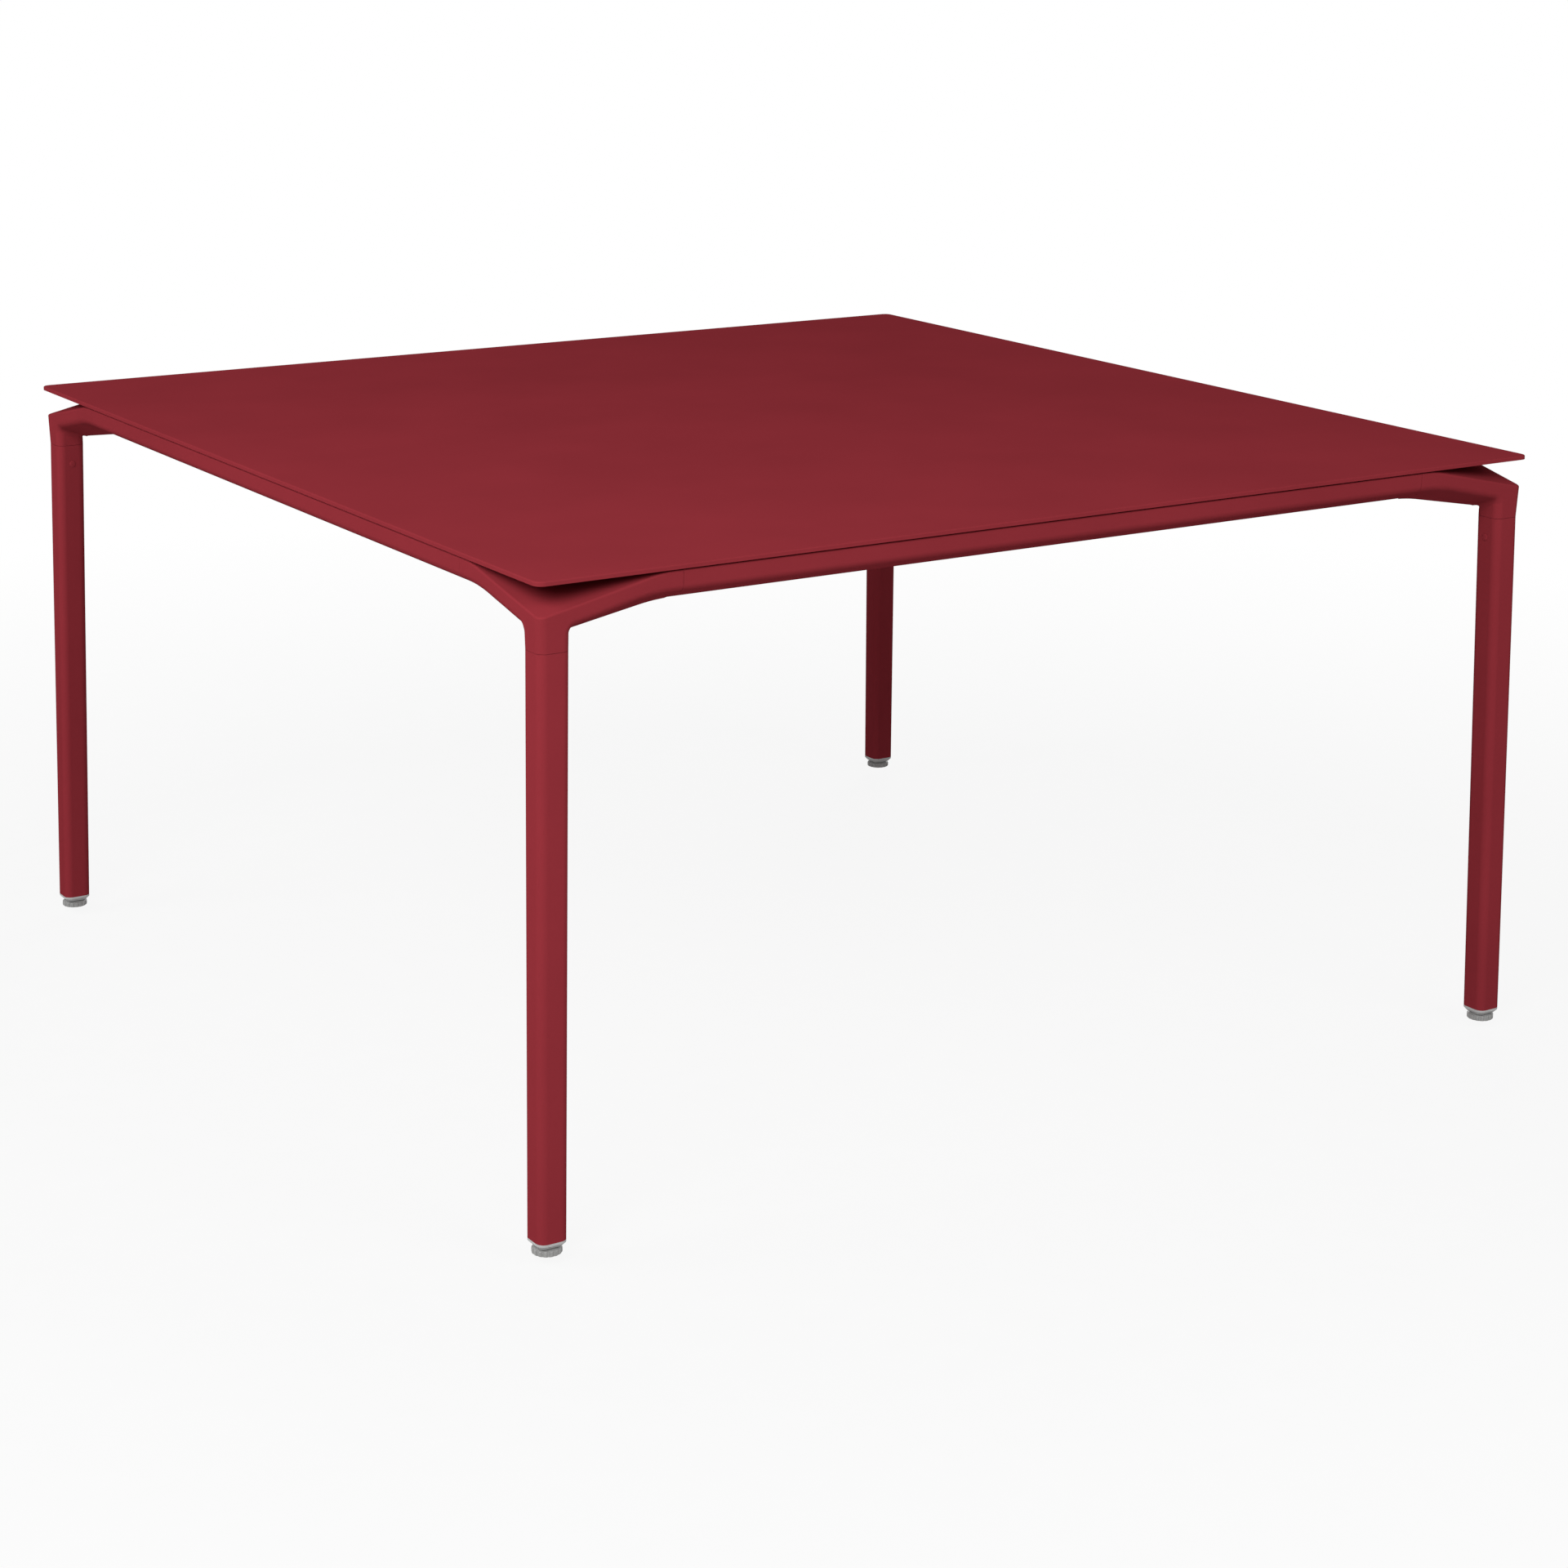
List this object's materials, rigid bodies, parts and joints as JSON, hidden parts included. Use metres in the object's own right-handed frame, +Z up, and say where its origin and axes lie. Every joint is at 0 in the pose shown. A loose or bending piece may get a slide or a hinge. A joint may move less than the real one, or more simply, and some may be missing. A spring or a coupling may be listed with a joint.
{
  "type": "outdoor dining table",
  "caption": "Square metal outdoor dining table: thin top over a slim rail frame, cast corners that drop below the top, rounded square legs and turning levelling feet.",
  "frame": {"origin": "on the floor, under the middle of the tabletop", "axes": "+Z up, +X and +Y along the sides of the square tabletop"},
  "size_m": [1.412, 1.412, 0.74],
  "materials": {
    "red_coat": "matt dark red powder coat",
    "grey_plastic": "grey moulded plastic",
    "zinc_steel": "zinc plated steel",
    "plain_alloy": "bare extruded aluminium",
    "black_nylon": "black nylon"
  },
  "bodies": {
    "frame": {"tabletop": "red_coat", "front_rail": "red_coat", "right_rail": "red_coat", "back_rail": "red_coat", "left_rail": "red_coat", "front_left_corner": "red_coat", "front_left_front_joiner": "plain_alloy", "front_left_left_joiner": "plain_alloy", "front_left_leg": "red_coat", "front_left_plug": "grey_plastic", "front_left_insert": "zinc_steel", "front_right_corner": "red_coat", "front_right_right_joiner": "plain_alloy", "front_right_front_joiner": "plain_alloy", "front_right_leg": "red_coat", "front_right_plug": "grey_plastic", "front_right_insert": "zinc_steel", "back_right_corner": "red_coat", "back_right_back_joiner": "plain_alloy", "back_right_right_joiner": "plain_alloy", "back_right_leg": "red_coat", "back_right_plug": "grey_plastic", "back_right_insert": "zinc_steel", "back_left_corner": "red_coat", "back_left_left_joiner": "plain_alloy", "back_left_back_joiner": "plain_alloy", "back_left_leg": "red_coat", "back_left_plug": "grey_plastic", "back_left_insert": "zinc_steel", "left_crossbar": "red_coat", "left_crossbar_front_plate": "red_coat", "left_crossbar_back_plate": "red_coat", "right_crossbar": "red_coat", "right_crossbar_front_plate": "red_coat", "right_crossbar_back_plate": "red_coat", "leg_screws": "red_coat", "joiner_screws": "zinc_steel", "plate_screws": "zinc_steel", "top_studs": "zinc_steel", "top_nuts": "zinc_steel", "top_spacers": "black_nylon", "support_pads": "black_nylon"},
    "front_left_foot_stem": {"front_left_stem": "zinc_steel"},
    "front_left_foot_pad": {"front_left_pad": "grey_plastic"},
    "front_right_foot_stem": {"front_right_stem": "zinc_steel"},
    "front_right_foot_pad": {"front_right_pad": "grey_plastic"},
    "back_right_foot_stem": {"back_right_stem": "zinc_steel"},
    "back_right_foot_pad": {"back_right_pad": "grey_plastic"},
    "back_left_foot_stem": {"back_left_stem": "zinc_steel"},
    "back_left_foot_pad": {"back_left_pad": "grey_plastic"}
  },
  "joints": [
    {"name": "front_left_foot_lift", "type": "slide", "parent": "frame", "child": "front_left_foot_stem", "axis": [0, 0, -1], "range_m": [0, 0.012]},
    {"name": "front_left_foot_turn", "type": "hinge", "parent": "front_left_foot_stem", "child": "front_left_foot_pad", "pos_m": [-0.688, -0.688, 0.004], "axis": [0, 0, -1], "range_deg": [0, 2880]},
    {"name": "front_right_foot_lift", "type": "slide", "parent": "frame", "child": "front_right_foot_stem", "axis": [0, 0, -1], "range_m": [0, 0.012]},
    {"name": "front_right_foot_turn", "type": "hinge", "parent": "front_right_foot_stem", "child": "front_right_foot_pad", "pos_m": [0.688, -0.688, 0.004], "axis": [0, 0, -1], "range_deg": [0, 2880]},
    {"name": "back_right_foot_lift", "type": "slide", "parent": "frame", "child": "back_right_foot_stem", "axis": [0, 0, -1], "range_m": [0, 0.012]},
    {"name": "back_right_foot_turn", "type": "hinge", "parent": "back_right_foot_stem", "child": "back_right_foot_pad", "pos_m": [0.688, 0.688, 0.004], "axis": [0, 0, -1], "range_deg": [0, 2880]},
    {"name": "back_left_foot_lift", "type": "slide", "parent": "frame", "child": "back_left_foot_stem", "axis": [0, 0, -1], "range_m": [0, 0.012]},
    {"name": "back_left_foot_turn", "type": "hinge", "parent": "back_left_foot_stem", "child": "back_left_foot_pad", "pos_m": [-0.688, 0.688, 0.004], "axis": [0, 0, -1], "range_deg": [0, 2880]}
  ],
  "couplings": [
    {"joint": "front_left_foot_turn", "follows": "front_left_foot_lift", "rad_per_m": 4188.8},
    {"joint": "front_right_foot_turn", "follows": "front_right_foot_lift", "rad_per_m": 4188.8},
    {"joint": "back_right_foot_turn", "follows": "back_right_foot_lift", "rad_per_m": 4188.8},
    {"joint": "back_left_foot_turn", "follows": "back_left_foot_lift", "rad_per_m": 4188.8}
  ]
}
